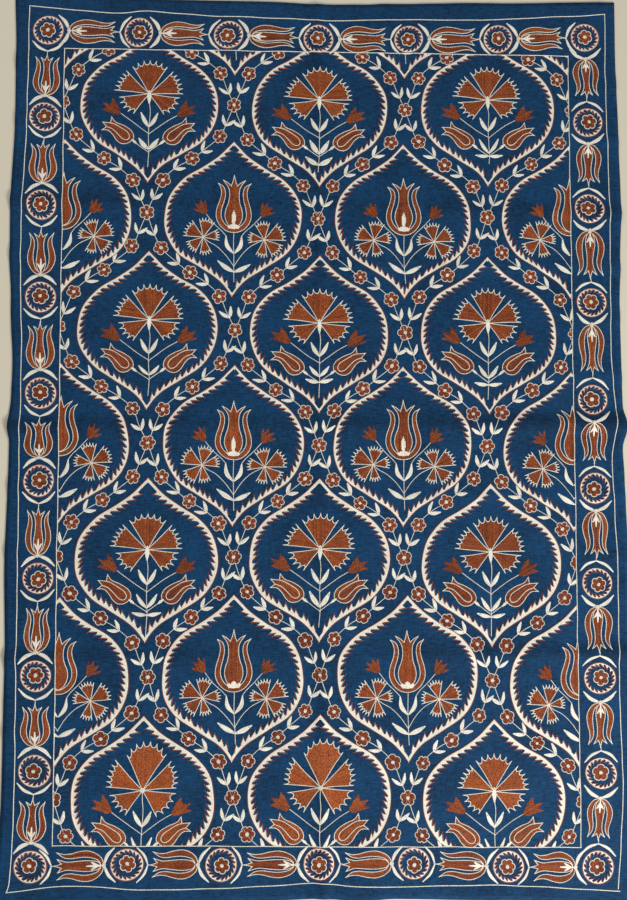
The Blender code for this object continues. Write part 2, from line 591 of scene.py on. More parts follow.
def sew_leaf(where, base, tip, width, bend=0.0, piece="cream_leaves"):
    """One cream leaf. Its midrib bends to the left of its way by a part of its length."""
    base, tip = np.array(base, float), np.array(tip, float)
    way = tip - base
    middle = (base + tip) / 2 + np.array([-way[1], way[0]]) * bend
    rows = leaf_rows([base, middle, tip], width, max(2, round(width / ROW_PITCH)))
    sew_rows(piece, rows, where, 0.6)


# Rows that lie on top of other rows reach nearly to the edge of their shape.
OVER_INSET = 0.4


def sew_disc(where, radius, piece, raised=0.8):
    """A small round centre of a flower."""
    disc = around(np.linspace(0, 2 * np.pi, 14, endpoint=False), radius)
    rows = straight_rows(disc, HAND.uniform(0, 180), OVER_INSET)
    sew_rows(piece, rows, where, dye=0.3, raised=raised)


print("a leaf 10 mm wide has", round(10 / ROW_PITCH), "rows")

# %% [markdown]
# ## The carnation
# A carnation has five petals that fan out from a small cream calyx. Each petal is a wedge whose
# crown is cut into sharp spikes with scallops between them. The spikes follow a rule, so the crown
# is a formula, and a petal is one row of a table: where its two corners are, how far out, how many
# spikes, and which way its rows of thread run.

# %% Petals
HEART = 4.0


def petal_sides(start, end, radii, spikes, depth, bow=0.0):
    """The lines of one petal from its heart: a side out, one scallop after another, a side back."""
    first, middle, last = radii
    bow = bow * np.sign(end - start)
    out = curve(around(np.radians([start, start + bow, start]), [HEART, 0.5 * first, first]))
    back = curve(around(np.radians([end, end - bow, end]), [last, 0.5 * last, HEART]))
    scallops = []
    for k in range(spikes - 1):
        u = np.linspace(0, 1, 9)
        t = (k + u) / (spikes - 1)
        crown = first * (1 - t) * (1 - 2 * t) + 4 * middle * t * (1 - t) + last * t * (2 * t - 1)
        cut = depth * np.sin(np.pi * u) ** 0.5
        scallops.append(around(np.radians(start + (end - start) * t), crown - cut))
    return out, scallops, back


print("a petal has", len(petal_sides(121, 58, (80, 85, 81), 7, 10)[1]), "scallops")

# %% Whole carnation
SPIKE_DEPTH = 11.5
# How far the long sides of a petal bow inwards, in degrees.
PETAL_BOW = 1.2

# The five petals: (first corner in degrees, second corner, radius at the first corner, at the crown,
# at the second corner, spikes, direction of the rows of thread).
CARNATION = (
    (121.0, 58.0, 81.0, 86.0, 81.0, 7, 90.0),
    (134.0, 174.0, 82.0, 84.0, 87.0, 6, 172.0),
    (45.0, 2.0, 81.0, 83.0, 82.0, 6, 8.0),
    (187.0, 233.0, 74.0, 72.0, 63.0, 5, 215.0),
    (-6.0, -54.0, 74.0, 72.0, 61.0, 5, -38.0),
)
WIDE_CARNATION = (
    (116.0, 57.0, 87.0, 112.0, 96.0, 8, 90.0),
    (134.0, 175.0, 94.0, 88.0, 84.0, 6, 150.0),
    (45.0, 4.0, 92.0, 88.0, 78.0, 6, 28.0),
    (189.0, 236.0, 76.0, 72.0, 67.0, 5, 215.0),
    (-5.0, -60.0, 78.0, 74.0, 68.0, 5, -38.0),
)
CALYX = ((0, 9), (0.3, -8), (0, -26))
CALYX_WIDTH = 10.5
CALYX_ROWS = 5


def sew_carnation(where, wide, dye):
    for start, end, first, middle, last, spikes, degrees in WIDE_CARNATION if wide else CARNATION:
        depth = SPIKE_DEPTH * HAND.uniform(0.92, 1.08)
        out, scallops, back = petal_sides(start, end, (first, middle, last), spikes, depth, PETAL_BOW)
        outline = joined(out, *scallops, back)
        sew_rows("carnation_petals", straight_rows(outline, degrees), where, dye)
        sew_outline("field_outlines", (out, *scallops, back), where)
    if wide:
        sew_disc(where, 6.0, "cream_leaves")
    else:
        sew_rows("cream_leaves", leaf_rows(CALYX, CALYX_WIDTH, CALYX_ROWS), where, dye=0.7, raised=0.7)


print("a carnation has", sum(petal[5] for petal in CARNATION), "spikes")

# %% Buds
# The tips of a plain bud as (along, aside) from its base. It is cut between each two of them.
THREE_TIPS = ((46, 17), (53, 0), (39, -23))
FOUR_TIPS = ((30, 21), (39, 9), (40, -10), (30, -19))
BUD_CUT = 13.0
BUD_INSET = 0.2


def bud_outline(tips):
    """A rounded base, a belly on each side that leads to the outer tips, and cuts between the tips."""
    tips = np.array(tips, float)
    first, last = tips[0], tips[-1]
    outline = [curve([(0, 1), (4, 6.5), (11, 9.5), first * (0.5, 0.68), first])]
    for a, b in zip(tips[:-1], tips[1:]):
        notch = (a + b) / 2 * (1, 0.6) - (BUD_CUT, 0)
        outline.append([a, notch, b])
    outline.append(curve([last, last * (0.5, 0.68), (11, -9.5), (4, -6.5), (0, -1)]))
    return joined(*outline)


def sew_bud(where, base, degrees, tips, dye, flip):
    """A bud in plain rust, without an outline."""
    own = spot(*base, degrees, 1, flip)
    rows = [own(row) for row in straight_rows(bud_outline(tips), 0, BUD_INSET)]
    sew_rows("buds", rows, where, dye)


print("a bud has", len(straight_rows(bud_outline(THREE_TIPS), 0, BUD_INSET)), "rows of yarn")

# %% Small tulips of the carnation's stem
# The small tulip, as (along, aside) from its base: one long side, the crown, the other long side,
# and the cream line inside it.
SMALL_TULIP_UPPER = ((-1, 1), (3, -8), (15, -16), (39, -18.5), (61, -17), (75, -23.5))
SMALL_TULIP_CROWN = ((75, -23.5), (70, -9), (88, -1), (74, 4.5), (80, 17))
SMALL_TULIP_LOWER = ((80, 17), (66, 10.5), (50, 14.5), (34, 23), (20, 25), (7, 17), (-1, 1))
SMALL_TULIP_LINE = (
    (70, -9), (60, -11), (39, -10), (19, -7), (10, 1), (12, 10), (22, 13), (40, 7.5), (58, 2.5), (74, 4.5),
)


def sew_small_tulip(where, base, degrees, flip, dye):
    own = spot(*base, degrees, 1, flip)
    upper, lower = curve(SMALL_TULIP_UPPER), curve(SMALL_TULIP_LOWER)
    outline = joined(upper, SMALL_TULIP_CROWN, lower)
    sew_rows("carnation_petals", [own(row) for row in straight_rows(outline, -8)], where, dye)
    crown = zip(SMALL_TULIP_CROWN[:-1], SMALL_TULIP_CROWN[1:])
    sew_outline("field_outlines", [own(line) for line in (upper, *crown, lower)], where)
    sew("field_outlines", where(own(curve(SMALL_TULIP_LINE))), dye=0.5, raised=0.7)


print("a small tulip's long side has", len(curve(SMALL_TULIP_LOWER)), "points")

# %% The carnation on its stem
# Places are from the middle of the oval.
CARNATION_HEART = (0.5, 26.5)
CARNATION_STEM = ((1, 3), (3, -17), (2, -42), (1, -66), (1, -92), (2, -119))
# A pair of leaves is (where it sits along the stem, how far its tips rise, width of a leaf).
FIRST_LEAVES = (-57, 36, 10.0)
# How far to each side the tips of the first, the second and the third pair reach.
LEAF_REACHES = (21, 24, 34)


def sew_carnation_spray(where, wide, dye, stem_end, *lower_leaves):
    """The flower with its stem, its pairs of leaves, two buds and two small tulips."""

    def heart(points):
        return where(np.asarray(points, float) + CARNATION_HEART)

    sew_carnation(heart, wide, dye)
    top = [CARNATION_HEART] if wide else []
    sew_stem(where, *top, *CARNATION_STEM, (0, stem_end))
    for reach, (height, rise, width) in zip(LEAF_REACHES, (FIRST_LEAVES, *lower_leaves)):
        for side in (-1, 1):
            sew_leaf(where, (1, height), (1 + side * reach, height + rise), width, side * -0.05)
    for side in (-1, 1):
        bud = (side * 70, -25 - side * 2)
        sew_bud(where, bud, 90 - side * 60, THREE_TIPS, dye - 0.1, -side)
        sew_stem(where, bud, (side * 46, -41), (side * 24, -57), (2, -74))
        sew_small_tulip(where, (side * 37, -89), 90 - side * 62, -side, dye - 0.12)
        knob = leaf_rows([(side * 41, -91), (side * 34, -96), (side * 27, -102)], 7.0, 3)
        sew_rows("cream_leaves", knob, where, dye=0.6, raised=0.7)
        sew_stem(where, (side * 29, -100), (side * 14, -111), (1, -121))


print("a carnation's stem has", len(LEAF_REACHES), "pairs of leaves at most")

# %% [markdown]
# ## The tulip
# The tulip has a vase-shaped body with three pointed tips, and one long petal that runs round it in
# a U and ends in a tip on each side. A cream flame stands in its base. Two small carnations, two
# buds and two pairs of leaves share its stem. The shapes are nearly the same on both sides, so most
# of them are drawn once and mirrored.

# %% Tulip outlines
TULIP_SIDE = ((0, -22), (10, -17), (17, -7), (21.5, 8), (20, 24), (14, 42), (11.5, 62), (14, 80), (27, 99))
TULIP_CROWN = ((27, 99), (16, 93), (7.5, 85))
TULIP_TIP = ((7.5, 85), (3.5, 96), (0, 111))
CUP_OUTER = (
    (0, -32), (16, -29), (29, -20), (39, -6), (43, 10), (41, 28), (34, 50), (31, 68), (34, 82), (40, 91),
)
CUP_INNER = ((0, -23), (15, -17), (26, -5), (31, 9), (30, 26), (24, 47), (21.5, 66), (26, 82), (40, 91))
FLAME = ((12, -23), (17, -15), (11, -14.5), (8, -12), (3.5, -11), (4, -4), (5.5, 4), (4, 14), (0, 25))
MOUND = ((12, -23), (17, -15), (12, -10), (8, -14), (4, -8), (0, -6))
CUP_ROWS = 6


def both(points):
    """A line from the middle outwards, with its mirror image before it."""
    return np.concatenate([mirrored(points)[::-1], np.asarray(points, float)[1:]])


def two_sides(*right):
    """The closed outline of a body that is the same on both sides, and all its lines."""
    left = [mirrored(line) for line in right]
    return joined(*right, *[line[::-1] for line in left[::-1]]), (*right, *left)


def sew_tulip(where, dye, inside):
    outline, lines = two_sides(curve(TULIP_SIDE), curve(TULIP_CROWN), curve(TULIP_TIP))
    sew_rows("tulip_petals", straight_rows(outline, 90), where, dye)
    outer, inner = curve(both(CUP_OUTER)), curve(both(CUP_INNER))
    sew_rows("tulip_petals", rows_between(outer[2:-2], inner[2:-2], CUP_ROWS), where, dye)
    sew_outline("field_outlines", (*lines, outer, inner), where)
    if inside:
        inside = joined(inside, mirrored(inside)[::-1])
        sew_rows("cream_leaves", straight_rows(inside, 90, OVER_INSET), where, dye=0.7, raised=0.7)


print("the petal round a tulip is", round(length_of(curve(both(CUP_OUTER)))), "mm long")

# %% Small carnation
# Its petals on the left side of the oval: (middle in degrees, half the angle, radius, spikes).
SMALL_PETALS = ((9, 20, 39, 5), (79, 24, 44, 6), (151, 26, 50, 6), (222, 24, 45, 6), (282, 19, 41, 5))
SMALL_SPIKE_DEPTH = 8.0
SMALL_INSET = 0.7


def sew_small_carnation(where, dye):
    """Five short petals, each with a crown of sharp spikes."""
    for middle, half, radius, spikes in SMALL_PETALS:
        middle = near(middle, 4)
        reach = near(radius, 2.5)
        radii = (reach, reach * near(1.03, 0.03), reach)
        out, crown, back = petal_sides(middle - half, middle + half, radii, spikes, SMALL_SPIKE_DEPTH)
        rows = straight_rows(joined(out, *crown, back), middle, SMALL_INSET)
        sew_rows("tulip_petals", rows, where, dye)
        sew_outline("field_outlines", (out, *crown, back), where)
    sew_disc(where, 4.0, "cream_leaves")


print("a small carnation has", sum(petal[3] for petal in SMALL_PETALS), "spikes")

# %% The tulip on its stem
TULIP_STEM = ((1, -33), (0.5, -70), (1, -105), (3, -154))


def sew_tulip_spray(where, dye, inside):
    sew_tulip(where, dye, inside)
    if inside:
        sew_stem(where, *TULIP_STEM)
    for side in (-1, 1):
        sew_leaf(where, (1 + side, -84), (1 + side * 19, -41), 10.0, side * -0.14)
        bud = (side * 67.5, 12 - side * 2)
        sew_stem(where, bud, (side * 48, -11), (side * 28, -30), (1 + side * 19, -41))
        sew_bud(where, bud, 90 - side * 38, FOUR_TIPS, dye - 0.05, -side)
        middle = (1 + side * 75, -47 - side * 2)

        def flower(points, side=side, middle=middle):
            return where(np.asarray(points, float) * (-side, 1) + middle)

        sew_small_carnation(flower, dye)
        sew_stem(where, middle, (side * 61, -56), (side * 41, -67), (side * 20, -87), (1, -116))
        sew_leaf(where, (2, -130), (2 + side * 40, -107 - side * 4), 11.5, side * -0.04)


print("a tulip's stem is", round(length_of(curve(TULIP_STEM))), "mm long")

# %% [markdown]
# ## The oval, the vine and the ring
# Each oval is a pointed frame: a dark red line outside, a cream band, and cream flames that lean
# upwards and inwards, each with a dark red edge. Between the ovals runs a vine with small flowers and
# pairs of leaves. The rings in the border have the same flames, smaller, round a flower.

# %% Oval
OVAL_REACH = 197.0
# Half of the outline, from its lower point up to its upper point. It is fuller below its middle.
OVAL_SIDE = (
    (0, -OVAL_REACH), (14, -176), (35, -154), (84, -122), (134, -88), (160, -49), (169.5, -5),
    (161, 53), (126, 100), (75, 132), (37, 159), (17, 179), (0, OVAL_REACH),
)
OVAL_POINTS = 190
OVAL_WAVER = 0.012
BAND_ROWS = 2
BAND_FROM_EDGE = 2.4

print("an oval is", 2 * OVAL_REACH, "mm tall and", 2 * max(across for across, _ in OVAL_SIDE), "mm wide")

# %% Flames
FLAME_PITCH = 16.0
FLAMES_FROM_EDGE = 1.9
# A flame as (along the band, inwards) from the foot of its steep front. The next one starts just
# past that foot.
FLAME_SHAPE = ((-15.0, -1.2), (-9.5, 2.6), (-3.6, 6.4), (2.6, 11.0), (-0.6, 4.6), (0.2, -1.2))
FLAME_EDGE = ((-13.0, 1.6), (-8.6, 4.2), (-2.8, 7.8), (2.8, 11.6))
FLAME_ROWS_TURN = 32.0
FLAME_INSET = 0.2


def sew_flame(where, foot, along, inward, size, pieces):
    """One cream flame that leans along the band and inwards, with a dark red edge on its long back."""
    cream, red = pieces
    turned = np.array([along, inward]) * size
    for row in straight_rows(np.array(FLAME_SHAPE), FLAME_ROWS_TURN, FLAME_INSET):
        sew(cream, where(row @ turned + foot), HAND.normal(0.6, 0.06))
    edge = curve(FLAME_EDGE) @ turned + foot
    sew(red, where(edge), HAND.uniform(0.4, 1.0), raised=0.5)


print("a flame has", len(straight_rows(np.array(FLAME_SHAPE), FLAME_ROWS_TURN, FLAME_INSET)), "rows")

# %% Whole oval
# How far from its upper and its lower point the tie between the two sides starts and ends.
TIE = (2, 13)
# A flame is left out where its tip, as (along the band, inwards), would come to the other side.
FLAME_TIP = (2, 12)
CLEAR_OF_MIDDLE = 1.5


def sew_oval(where, band_rows):
    for end in (-1, 1):
        sew("oval_bands", where([(0, end * (OVAL_REACH - off)) for off in TIE]), 0.6)
    for side in (-1, 1):
        line = spread(curve(OVAL_SIDE) * (side, 1), OVAL_POINTS)
        line[:, 0] *= 1 + OVAL_WAVER * np.sin(line[:, 1] / 41 + HAND.uniform(0, 6))
        sew("red_edges", where(line), 0.1)
        way, left = ways(line)
        inward = left * side
        for k in range(band_rows):
            row = line + inward * (BAND_FROM_EDGE + k * ROW_PITCH)
            row = row[row[:, 0] * side > 0]
            sew("oval_bands", where(row), HAND.normal(0.6, 0.05))
        edge = FLAMES_FROM_EDGE + band_rows * ROW_PITCH
        count = round(length_of(line) / FLAME_PITCH)
        for k in range(count):
            at = (k + 0.55 + HAND.uniform(-0.12, 0.12)) / count
            i = int(at * (len(line) - 1))
            foot = line[i] + inward[i] * edge
            tip = foot + way[i] * FLAME_TIP[0] + inward[i] * FLAME_TIP[1]
            if tip[0] * side > CLEAR_OF_MIDDLE:
                reach = inward[i] * near(0.95, 0.17)
                sew_flame(where, foot, way[i], reach, 1.0, ("oval_bands", "red_edges"))


print("an oval has about", 2 * round(length_of(curve(OVAL_SIDE)) / FLAME_PITCH), "flames")

# %% Small flowers
PARTED_DENT = 0.34
WHOLE_DENT = 0.24


def lobe(k, count, radius, dent):
    """The rounded edge of one petal of a small flower, from one dent to the next."""
    angle = 2 * np.pi * (k + np.linspace(-0.5, 0.5, 9)) / count
    reach = radius * (1 - dent + dent * np.abs(np.cos(count * angle / 2)) ** 0.5)
    return around(angle, reach)


def sew_flower(x, y, radius, parted, dye, pieces):
    """A small flower with a cream outline and heart. Where its petals are parted, each has rows of
    its own, so the ground shows a little between them."""
    fill, outline, cream = pieces
    count = int(HAND.choice([5, 6, 6]))
    where = spot(x, y, HAND.uniform(0, 360), near(1, 0.05), near(1, 0.05))
    dent = PARTED_DENT if parted else WHOLE_DENT
    petals = [lobe(k, count, radius, dent) for k in range(count)]
    if parted:
        for k, petal in enumerate(petals):
            rows = straight_rows(joined(petal, [(0, 0)]), 360 * k / count, 0.3)
            sew_rows(fill, rows, where, dye)
    else:
        sew_rows(fill, straight_rows(joined(*petals), HAND.uniform(0, 180)), where, dye)
    sew_outline(outline, petals, where)
    sew_disc(where, near(0.24, 0.03) * radius, cream)


print("a petal's edge has", len(lobe(0, 6, 18.0, WHOLE_DENT)), "points")

# %% Ring
RING_PIECES = ("border_petals", "border_outlines", "border_cream")
RING_RADIUS = 38.0
RING_BAND = RING_RADIUS - 2.3
RING_FOOT = RING_RADIUS - 3.2
RING_FLAMES = 19
RING_FLAME = 0.66
RING_FLOWER = 18.8
ONCE_ROUND = np.linspace(0, 2 * np.pi, 60)


def sew_ring(x, y, dye, lean=1):
    where = spot(x, y, HAND.uniform(0, 360), HAND.uniform(0.98, 1.03), HAND.uniform(0.94, 1.0))
    sew("border_red", where(around(ONCE_ROUND, RING_RADIUS)), 0.5)
    sew("border_cream", where(around(ONCE_ROUND, RING_BAND)), 0.6)
    for k in range(RING_FLAMES):
        angle = 2 * np.pi * (k + HAND.uniform(-0.1, 0.1)) / RING_FLAMES
        out = np.array([np.cos(angle), np.sin(angle)])
        along = np.array([-out[1], out[0]]) * lean
        inward = -out * near(1.0, 0.15)
        sew_flame(where, out * RING_FOOT, along, inward, RING_FLAME, ("border_cream", "border_red"))
    dx, dy = HAND.uniform(-3, 3, 2)
    sew_flower(x + dx, y + dy, near(RING_FLOWER, 1.0), False, dye, RING_PIECES)


print("a ring is", 2 * RING_RADIUS, "mm wide and has", RING_FLAMES, "flames")

# %% [markdown]
# ## Laying out the field
# The ovals stand in rows, and every second row is shifted by half. No two of them are quite level,
# because the pattern was drawn by eye, so their places are a short table in millimetres. Everything
# else hangs on it: the vine's flowers sit between the points of the ovals, and its arms run from
# each such flower to the two below it.

# %% Rows of ovals
# Each row of the cloth, and its ovals from left to right: where the middle of the oval is, across
# and along, and how far off its middle the spray inside it was sewn, across and along.
OVALS = (
    ((-640, 1093, 0, 0), (-213, 1093, 0, 0), (213, 1094, 0, 0), (640, 1093, 0, 0)),
    ((-424, 814, -1, 4), (0, 810, -2, 1), (422, 819, 1, 3)),
    ((-630, 529, 1, 0), (-213, 530, 2, -2), (210, 531, 0, -3), (627, 536, 0, -3)),
    ((-417, 250, 3, -1), (2, 244, -1, 1), (420, 247, -2, 4)),
    ((-624, -30, 3, 3), (-205, -31, 0, -3), (207, -30, 1, 0), (624, -40, 1, 1)),
    ((-409, -307, 1, -2), (4, -305, 1, -1), (421, -316, -2, 4)),
    ((-612, -592, 2, 2), (-200, -585, 3, 1), (218, -586, -2, 0), (631, -603, -1, 0)),
    ((-407, -868, -1, -1), (9, -865, -1, 0), (423, -877, -1, 2)),
)
# From this row on the bands of the ovals are one row of yarn broader.
BROAD_BANDS_FROM = 5
OVALS_IN_TULIP_ROW = 4
# The wide carnations, as (row, column), and the tulips with a low mound in place of the flame.
WIDE = ((7, 0), (7, 1))
MOUND_ROW = 6
# Further out than this the frame cuts a tulip in half, and it has neither a flame nor a stem.
HALF_TULIPS_FROM = 500
# Each carnation's stem, as (row, column): its lower end, its second pair of leaves, and its third
# pair where it has one.
CARNATION_STEMS = {
    (1, 0): (-159, (-114, 28, 12.0)),
    (1, 1): (-159, (-114, 36, 12.5), (-142, 22, 12.5)),
    (1, 2): (-140, (-114, 37, 8.5), (-121, 3, 9.0)),
    (3, 0): (-159, (-110, 24, 8.5)),
    (3, 1): (-159, (-107, 26, 10.0), (-121, 9, 9.5)),
    (3, 2): (-162, (-111, 31, 10.0), (-127, 4, 9.5)),
    (5, 0): (-178, (-112, 33, 9.5), (-129, 6, 10.0)),
    (5, 1): (-158, (-112, 37, 12.0)),
    (5, 2): (-172, (-114, 32, 9.5), (-127, 8, 9.5)),
    (7, 0): (-120, (-122, 42, 8.5)),
    (7, 1): (-120, (-122, 42, 8.5)),
    (7, 2): (-120, (-122, 40, 7.5)),
}
# How bright the rust yarn of each row is.
ROW_DYE = (0.5, 0.45, 0.45, 0.48, 0.45, 0.45, 0.4, 0.7)
FIELD_CORNERS = ((-636.5, 958.5), (-612.4, -967.1), (628.6, -979.1), (630.0, 967.7))


print(sum(len(row) for row in OVALS), "ovals in", len(OVALS), "rows")

# %% Ovals and their sprays


def sew_field():
    for number, row in enumerate(OVALS):
        for column, (across, along, off_across, off_along) in enumerate(row):
            sew_oval(spot(across, along, near(0, 0.3)), BAND_ROWS + (number >= BROAD_BANDS_FROM))
            dye = near(ROW_DYE[number], 0.08)
            where = spot(across + off_across, along + off_along, near(0, 0.8), near(1, 0.01), near(1, 0.01))
            if len(row) == OVALS_IN_TULIP_ROW:
                inside = MOUND if number == MOUND_ROW else FLAME
                sew_tulip_spray(where, dye, None if abs(across) > HALF_TULIPS_FROM else inside)
            else:
                wide = (number, column) in WIDE
                sew_carnation_spray(where, wide, dye, *CARNATION_STEMS[number, column])


sew_field()
print("field:", {name: len(lines) for name, lines in WORK.items()})

# %% Vine
# The flowers between the points of the ovals, in rows, as (across, along). The first and the last
# row lie past the frame, and the arms that run to them end there.
KNOTS = (
    ((-424, 1099), (2, 1099), (420, 1099)),
    ((-638, 821), (-214, 821), (214, 817), (638, 823)),
    ((-425, 543), (-3, 533), (419, 544)),
    ((-634, 256), (-205, 251), (214, 251), (636, 253)),
    ((-412, -26), (3, -29), (413, -29)),
    ((-624, -300), (-202, -299), (209, -299), (632, -311)),
    ((-401, -583), (7, -577), (421, -591)),
    ((-615, -862), (-197, -860), (217, -864), (636, -875)),
    ((-410, -1143), (10, -1140), (425, -1143)),
)
ARM_REACH = 300.0
# The arms that run down to the right hang a little.
SAG = 2.0
# The way of one arm between two flowers, as parts of the way across and down, and what sits there.
ARM = (
    (0.075, 0.150, "leaves"),
    (0.164, 0.297, "flower"),
    (0.327, 0.407, "leaves"),
    (0.489, 0.507, "flower"),
    (0.655, 0.580, "leaves"),
    (0.829, 0.701, "flower"),
    (0.915, 0.850, "leaves"),
)
VINE_PIECES = ("vine_petals", "vine_outlines", "vine_cream")
VINE_FLOWER = 17.6
VINE_LEAF = 29.0
VINE_LEAF_BEHIND = 12.0
VINE_LEAF_WIDTH = 9.0
# How far a leaf turns away from the way of the vine, in degrees.
VINE_LEAF_TURN = 33
# In the upper rows the petals of the flowers are parted, and their yarn is brighter.
PARTED_ROWS = 5
PARTED_DYE = 0.55
WHOLE_DYE = 0.35

print(sum(len(row) for row in KNOTS), "flowers between the ovals")

# %% Arms of the vine


def sew_arm(start, end, parted, dye):
    start, end = np.array(start, float), np.array(end, float)
    sag = (0, SAG if end[0] > start[0] else 0)
    points = [start, *[start + (end - start) * stop[:2] - sag for stop in ARM], end]
    line = curve(points)
    sew("stems", line, raised=-0.1)
    for i, (_, _, what) in enumerate(ARM, start=1):
        x, y = points[i] + HAND.uniform(-1.5, 1.5, 2)
        if what == "flower":
            sew_flower(x, y, near(VINE_FLOWER, 0.8), parted, near(dye, 0.1), VINE_PIECES)
            continue
        up = points[i - 1] - points[i + 1]
        x, y = (x, y) - up / np.hypot(*up) * VINE_LEAF_BEHIND
        turn = np.degrees(np.arctan2(up[1], up[0]))
        for side in (-1, 1):
            where = spot(x, y, turn + side * near(VINE_LEAF_TURN, 4))
            tip = (near(VINE_LEAF, 2), 0)
            sew_leaf(where, (0, 0), tip, near(VINE_LEAF_WIDTH, 0.6), side * 0.05, "vine_cream")


def sew_vine():
    for number, row in enumerate(KNOTS):
        parted = number < PARTED_ROWS
        dye = PARTED_DYE if parted else WHOLE_DYE
        for x, y in row:
            sew_flower(x, y, VINE_FLOWER + 0.5, parted, near(dye, 0.1), VINE_PIECES)
            for end in KNOTS[number + 1] if number + 1 < len(KNOTS) else ():
                if abs(end[0] - x) < ARM_REACH:
                    sew_arm((x, y), end, parted, dye)


sew_vine()
print("vine:", {name: len(WORK[name]) for name in VINE_PIECES})

# %% [markdown]
# ## The border
# The border has a ring at each corner and rings along its sides, and a tulip between each two. The
# tulips all point the same way round: up the left side, along the top to the right, down the right
# side, and back along the bottom. Two pairs of leaves clasp each ring.

# %% Border tulip
# As (aside, along) from its base.
NARROW_SIDE = ((0, 2), (6, 7), (10.5, 18), (11.5, 32), (8.5, 52), (7, 68), (8.5, 84), (15.5, 99))
STRAIGHT_SIDE = ((0, 6), (7, 10), (11, 22), (12, 42), (10, 64), (9, 80), (15, 99))
BORDER_HORN = ((15, 99), (9.5, 95), (5, 91))
BORDER_TIP = ((5, 91), (2.5, 97), (0, 107))
WING_OUTER = ((3, 0), (17, 5), (28, 17), (34, 34), (32, 54), (27, 71), (26, 86), (30, 100))
WING_INNER = ((4, 6), (13, 13), (18, 25), (20, 40), (18.5, 57), (16.5, 71), (19, 86), (30, 100))
PRONGS = (((0, 4), (0, 18), (0, 38)), ((1, 12), (4, 20), (9, 27)), ((-1, 12), (-4, 20), (-9, 27)))
TULIP_LENGTH = 107.0
WING_ROWS = 7
PRONG_WIDTH = 5.6
PRONG_ROWS = 3


def sew_border_tulip(where, side_points, dye, prongs):
    outline, lines = two_sides(curve(side_points), curve(BORDER_HORN), curve(BORDER_TIP))
    sew_rows("border_petals", straight_rows(outline, 90), where, dye)
    sew_outline("border_outlines", lines, where)
    for flip in (-near(0.96, 0.08), near(0.96, 0.08)):
        outer, inner = curve(WING_OUTER) * (flip, 1), curve(WING_INNER) * (flip, 1)
        sew_rows("border_petals", rows_between(outer[1:-2], inner[1:-2], WING_ROWS), where, dye)
        sew_outline("border_outlines", (outer, inner), where)
    if prongs:
        for prong in PRONGS:
            rows = leaf_rows(prong, PRONG_WIDTH, PRONG_ROWS)
            sew_rows("border_cream", rows, where, dye=0.7, raised=0.8)
    sew_disc(where, 5.0, "border_cream")


print("a wing of a border tulip is", round(length_of(curve(WING_OUTER))), "mm long")

# %% One side of the border
CLASP_BEND = -0.10
# The leaves at the tips of a tulip are narrower than those at its base.
TIP_LEAVES = 0.75


def sew_clasp(where, vertex, toward, width):
    """A pair of leaves that clasps a ring: it opens from its vertex towards the ring."""
    for flip in (-1, 1):
        tip = (flip * near(40, 1.5), vertex + toward * near(27, 2))
        sew_leaf(where, (0, vertex), tip, width, flip * toward * CLASP_BEND, "border_cream")


def sew_border(rings, side_points, width, base_from_ring, vertex_from_ring, stem, with_prongs):
    """Tulips that point from each ring to the next one, with a pair of leaves at their base and one
    at their tips."""
    for (x0, y0), (x1, y1) in zip(rings[:-1], rings[1:]):
        way = np.hypot(x1 - x0, y1 - y0)
        turn = np.degrees(np.arctan2(y1 - y0, x1 - x0)) - 90
        where = spot(x0, y0, turn)
        base, vertex = near(base_from_ring, 1.5), way - near(vertex_from_ring, 1.5)
        sew_clasp(where, base, -1, width)
        sew_clasp(where, vertex, 1, width * TIP_LEAVES)
        length = vertex - stem - base
        tulip = spot(*where((0, base)), turn + near(0, 1.0), near(0.98, 0.05), length / TULIP_LENGTH)
        sew_border_tulip(tulip, side_points, near(0.4, 0.12), HAND.random() < with_prongs)
        sew_outline("border_outlines", [[(0, base + length - 2), (0, vertex)]], where)


print("the leaves of a clasp bend by", abs(CLASP_BEND), "of their length")

# %% Rings and the tulips between them
LEFT_RINGS = (
    (-662, -1014), (-659, -798), (-663, -580), (-664, -351), (-669, -120),
    (-671, 92), (-678, 328), (-682, 558), (-681, 781), (-678, 1004),
)
RIGHT_RINGS = (
    (674, 1017), (678, 794), (677, 571), (679, 332), (677, 89),
    (678, -129), (679, -359), (681, -585), (680, -809), (668, -1025),
)
TOP_RINGS = (
    LEFT_RINGS[-1], (-454, 1004), (-230, 1003), (-4, 997), (224, 1002), (452, 1008), RIGHT_RINGS[0],
)
BOTTOM_RINGS = (
    RIGHT_RINGS[-1], (455, -1022), (230, -1013), (7, -1012), (-221, -1013), (-440, -1011), LEFT_RINGS[0],
)

# (rings, side of the tulips' body, width of the leaves, from a ring to the base of its tulip, from a
# ring to the leaves before it, from there to the tips of the tulip, and the share of tulips that
# have cream prongs in their base).
BORDER_SIDES = (
    (LEFT_RINGS, NARROW_SIDE, 9.0, 56, 54, 10, 1.0),
    (TOP_RINGS, STRAIGHT_SIDE, 9.0, 53, 48, 5, 1.0),
    (RIGHT_RINGS, NARROW_SIDE, 8.5, 56, 54, 9, 1.0),
    (BOTTOM_RINGS, STRAIGHT_SIDE, 7.5, 53, 49, 5, 0.6),
)
for side in BORDER_SIDES:
    sew_border(*side)
all_rings = LEFT_RINGS + TOP_RINGS[1:-1] + RIGHT_RINGS + BOTTOM_RINGS[1:-1]
for x, y in all_rings:
    sew_ring(x, y, near(0.35, 0.1), HAND.choice([-1, 1]))
print("border:", len(all_rings), "rings")

